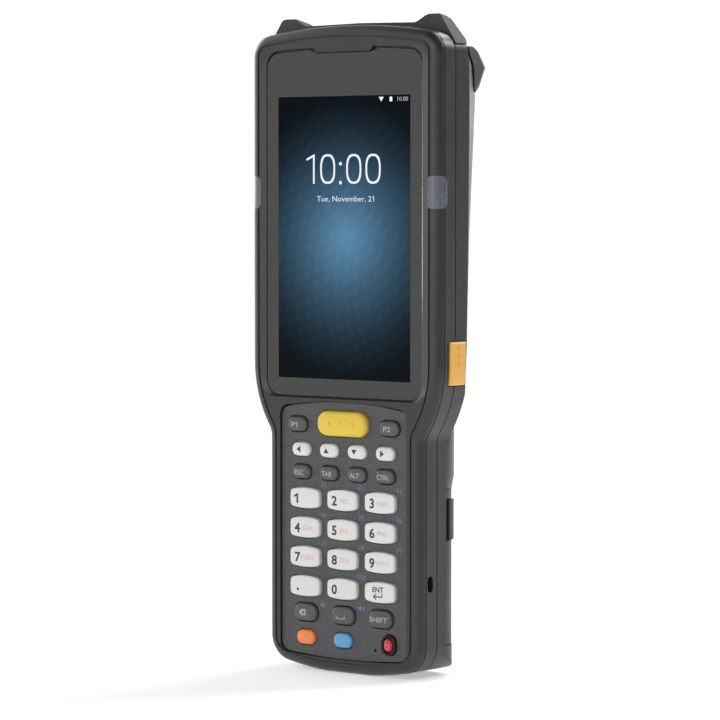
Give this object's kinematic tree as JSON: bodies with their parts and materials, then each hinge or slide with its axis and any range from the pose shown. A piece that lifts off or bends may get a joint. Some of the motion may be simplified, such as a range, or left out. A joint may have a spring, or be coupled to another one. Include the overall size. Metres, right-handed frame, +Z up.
{
  "type": "portable barcode data terminal",
  "caption": "Upright handheld barcode terminal with a touch display over a sprung keypad, side scan triggers and a removable battery.",
  "frame": {"origin": "under the middle of the body, at the foot it stands on", "axes": "+Z up along the body, the display and keypad face -Y, +X to the right of someone facing the display"},
  "size_m": [0.0772, 0.0342, 0.2027],
  "materials": {
    "housing_plastic": "fine moulded texture",
    "panel_plastic": "coarse moulded texture",
    "bumper_rubber": "satin",
    "window_glass": "polished, dark printed border",
    "display_face": "polished",
    "mat_rubber": "matt",
    "circuit_board": "solder resist",
    "ring_plastic": "gloss",
    "chassis_metal": "cast",
    "light_pipe": "frosted",
    "trigger_yellow": "satin",
    "switch_plastic": "satin",
    "scan_window_tint": "polished",
    "engine_metal": "satin",
    "screw_steel": "zinc plated",
    "battery_plastic": "fine moulded texture",
    "cell_metal": "plain can",
    "latch_plastic": "satin",
    "contact_brass": "gold plated",
    "key_white": "satin",
    "key_yellow": "satin",
    "key_orange": "satin",
    "key_blue": "satin",
    "key_red": "satin",
    "key_grey": "satin"
  },
  "bodies": {
    "housing": {"front_housing": "housing_plastic", "rear_housing": "housing_plastic", "top_bumper": "bumper_rubber", "rear_bumper_left": "bumper_rubber", "rear_bumper_right": "bumper_rubber", "touch_window": "window_glass", "display_module": "display_face", "keypad_panel": "panel_plastic", "keypad_mat": "mat_rubber", "keypad_board": "circuit_board", "power_key_ring": "ring_plastic", "main_board": "circuit_board", "chassis": "chassis_metal", "light_pipe_left": "light_pipe", "light_pipe_right": "light_pipe", "trigger_switches": "switch_plastic", "scan_window": "scan_window_tint", "scan_engine": "engine_metal", "microphone": "engine_metal", "earpiece": "switch_plastic", "loudspeaker": "switch_plastic", "seal_gasket": "mat_rubber", "housing_screws": "screw_steel", "battery_contacts": "contact_brass", "dock_connector": "contact_brass"},
    "key_scan": {"key_scan": "key_yellow"},
    "key_p1": {"key_p1": "key_grey"},
    "key_p2": {"key_p2": "key_grey"},
    "key_left": {"key_left": "key_white"},
    "key_up": {"key_up": "key_white"},
    "key_down": {"key_down": "key_white"},
    "key_right": {"key_right": "key_white"},
    "key_esc": {"key_esc": "key_grey"},
    "key_tab": {"key_tab": "key_grey"},
    "key_alt": {"key_alt": "key_grey"},
    "key_ctrl": {"key_ctrl": "key_grey"},
    "key_1": {"key_1": "key_white"},
    "key_2": {"key_2": "key_white"},
    "key_3": {"key_3": "key_white"},
    "key_4": {"key_4": "key_white"},
    "key_5": {"key_5": "key_white"},
    "key_6": {"key_6": "key_white"},
    "key_7": {"key_7": "key_white"},
    "key_8": {"key_8": "key_white"},
    "key_9": {"key_9": "key_white"},
    "key_point": {"key_point": "key_white"},
    "key_0": {"key_0": "key_white"},
    "key_enter": {"key_enter": "key_white"},
    "key_backspace": {"key_backspace": "key_grey"},
    "key_space": {"key_space": "key_grey"},
    "key_shift": {"key_shift": "key_grey"},
    "key_orange": {"key_orange": "key_orange"},
    "key_blue": {"key_blue": "key_blue"},
    "key_power": {"key_power": "key_red"},
    "side_trigger_left": {"side_trigger_left": "trigger_yellow"},
    "side_trigger_right": {"side_trigger_right": "trigger_yellow"},
    "battery_pack": {"battery_pack": "battery_plastic", "battery_cell": "cell_metal"},
    "battery_latch_left": {"battery_latch_left": "latch_plastic"},
    "battery_latch_right": {"battery_latch_right": "latch_plastic"}
  },
  "joints": [
    {"name": "key_scan_press", "type": "slide", "parent": "housing", "child": "key_scan", "axis": [0, 1, 0], "range_m": [0, 0.0008], "stiffness_N_per_m": 600, "springref_m": -0.0006},
    {"name": "key_p1_press", "type": "slide", "parent": "housing", "child": "key_p1", "axis": [0, 1, 0], "range_m": [0, 0.0008], "stiffness_N_per_m": 600, "springref_m": -0.0006},
    {"name": "key_p2_press", "type": "slide", "parent": "housing", "child": "key_p2", "axis": [0, 1, 0], "range_m": [0, 0.0008], "stiffness_N_per_m": 600, "springref_m": -0.0006},
    {"name": "key_left_press", "type": "slide", "parent": "housing", "child": "key_left", "axis": [0, 1, 0], "range_m": [0, 0.0008], "stiffness_N_per_m": 600, "springref_m": -0.0006},
    {"name": "key_up_press", "type": "slide", "parent": "housing", "child": "key_up", "axis": [0, 1, 0], "range_m": [0, 0.0008], "stiffness_N_per_m": 600, "springref_m": -0.0006},
    {"name": "key_down_press", "type": "slide", "parent": "housing", "child": "key_down", "axis": [0, 1, 0], "range_m": [0, 0.0008], "stiffness_N_per_m": 600, "springref_m": -0.0006},
    {"name": "key_right_press", "type": "slide", "parent": "housing", "child": "key_right", "axis": [0, 1, 0], "range_m": [0, 0.0008], "stiffness_N_per_m": 600, "springref_m": -0.0006},
    {"name": "key_esc_press", "type": "slide", "parent": "housing", "child": "key_esc", "axis": [0, 1, 0], "range_m": [0, 0.0008], "stiffness_N_per_m": 600, "springref_m": -0.0006},
    {"name": "key_tab_press", "type": "slide", "parent": "housing", "child": "key_tab", "axis": [0, 1, 0], "range_m": [0, 0.0008], "stiffness_N_per_m": 600, "springref_m": -0.0006},
    {"name": "key_alt_press", "type": "slide", "parent": "housing", "child": "key_alt", "axis": [0, 1, 0], "range_m": [0, 0.0008], "stiffness_N_per_m": 600, "springref_m": -0.0006},
    {"name": "key_ctrl_press", "type": "slide", "parent": "housing", "child": "key_ctrl", "axis": [0, 1, 0], "range_m": [0, 0.0008], "stiffness_N_per_m": 600, "springref_m": -0.0006},
    {"name": "key_1_press", "type": "slide", "parent": "housing", "child": "key_1", "axis": [0, 1, 0], "range_m": [0, 0.0008], "stiffness_N_per_m": 600, "springref_m": -0.0006},
    {"name": "key_2_press", "type": "slide", "parent": "housing", "child": "key_2", "axis": [0, 1, 0], "range_m": [0, 0.0008], "stiffness_N_per_m": 600, "springref_m": -0.0006},
    {"name": "key_3_press", "type": "slide", "parent": "housing", "child": "key_3", "axis": [0, 1, 0], "range_m": [0, 0.0008], "stiffness_N_per_m": 600, "springref_m": -0.0006},
    {"name": "key_4_press", "type": "slide", "parent": "housing", "child": "key_4", "axis": [0, 1, 0], "range_m": [0, 0.0008], "stiffness_N_per_m": 600, "springref_m": -0.0006},
    {"name": "key_5_press", "type": "slide", "parent": "housing", "child": "key_5", "axis": [0, 1, 0], "range_m": [0, 0.0008], "stiffness_N_per_m": 600, "springref_m": -0.0006},
    {"name": "key_6_press", "type": "slide", "parent": "housing", "child": "key_6", "axis": [0, 1, 0], "range_m": [0, 0.0008], "stiffness_N_per_m": 600, "springref_m": -0.0006},
    {"name": "key_7_press", "type": "slide", "parent": "housing", "child": "key_7", "axis": [0, 1, 0], "range_m": [0, 0.0008], "stiffness_N_per_m": 600, "springref_m": -0.0006},
    {"name": "key_8_press", "type": "slide", "parent": "housing", "child": "key_8", "axis": [0, 1, 0], "range_m": [0, 0.0008], "stiffness_N_per_m": 600, "springref_m": -0.0006},
    {"name": "key_9_press", "type": "slide", "parent": "housing", "child": "key_9", "axis": [0, 1, 0], "range_m": [0, 0.0008], "stiffness_N_per_m": 600, "springref_m": -0.0006},
    {"name": "key_point_press", "type": "slide", "parent": "housing", "child": "key_point", "axis": [0, 1, 0], "range_m": [0, 0.0008], "stiffness_N_per_m": 600, "springref_m": -0.0006},
    {"name": "key_0_press", "type": "slide", "parent": "housing", "child": "key_0", "axis": [0, 1, 0], "range_m": [0, 0.0008], "stiffness_N_per_m": 600, "springref_m": -0.0006},
    {"name": "key_enter_press", "type": "slide", "parent": "housing", "child": "key_enter", "axis": [0, 1, 0], "range_m": [0, 0.0008], "stiffness_N_per_m": 600, "springref_m": -0.0006},
    {"name": "key_backspace_press", "type": "slide", "parent": "housing", "child": "key_backspace", "axis": [0, 1, 0], "range_m": [0, 0.0008], "stiffness_N_per_m": 600, "springref_m": -0.0006},
    {"name": "key_space_press", "type": "slide", "parent": "housing", "child": "key_space", "axis": [0, 1, 0], "range_m": [0, 0.0008], "stiffness_N_per_m": 600, "springref_m": -0.0006},
    {"name": "key_shift_press", "type": "slide", "parent": "housing", "child": "key_shift", "axis": [0, 1, 0], "range_m": [0, 0.0008], "stiffness_N_per_m": 600, "springref_m": -0.0006},
    {"name": "key_orange_press", "type": "slide", "parent": "housing", "child": "key_orange", "axis": [0, 1, 0], "range_m": [0, 0.0008], "stiffness_N_per_m": 600, "springref_m": -0.0006},
    {"name": "key_blue_press", "type": "slide", "parent": "housing", "child": "key_blue", "axis": [0, 1, 0], "range_m": [0, 0.0008], "stiffness_N_per_m": 600, "springref_m": -0.0006},
    {"name": "key_power_press", "type": "slide", "parent": "housing", "child": "key_power", "axis": [0, 1, 0], "range_m": [0, 0.0008], "stiffness_N_per_m": 600, "springref_m": -0.0006},
    {"name": "side_trigger_left_press", "type": "slide", "parent": "housing", "child": "side_trigger_left", "axis": [1, 0, 0], "range_m": [0, 0.0008], "stiffness_N_per_m": 900, "springref_m": -0.0008},
    {"name": "side_trigger_right_press", "type": "slide", "parent": "housing", "child": "side_trigger_right", "axis": [-1, 0, 0], "range_m": [0, 0.0008], "stiffness_N_per_m": 900, "springref_m": -0.0008},
    {"name": "battery_removal", "type": "slide", "parent": "housing", "child": "battery_pack", "axis": [0, 1, 0], "range_m": [0, 0.02]},
    {"name": "battery_latch_left_press", "type": "slide", "parent": "battery_pack", "child": "battery_latch_left", "axis": [1, 0, 0], "range_m": [0, 0.0012], "stiffness_N_per_m": 700, "springref_m": -0.001},
    {"name": "battery_latch_right_press", "type": "slide", "parent": "battery_pack", "child": "battery_latch_right", "axis": [-1, 0, 0], "range_m": [0, 0.0012], "stiffness_N_per_m": 700, "springref_m": -0.001}
  ]
}
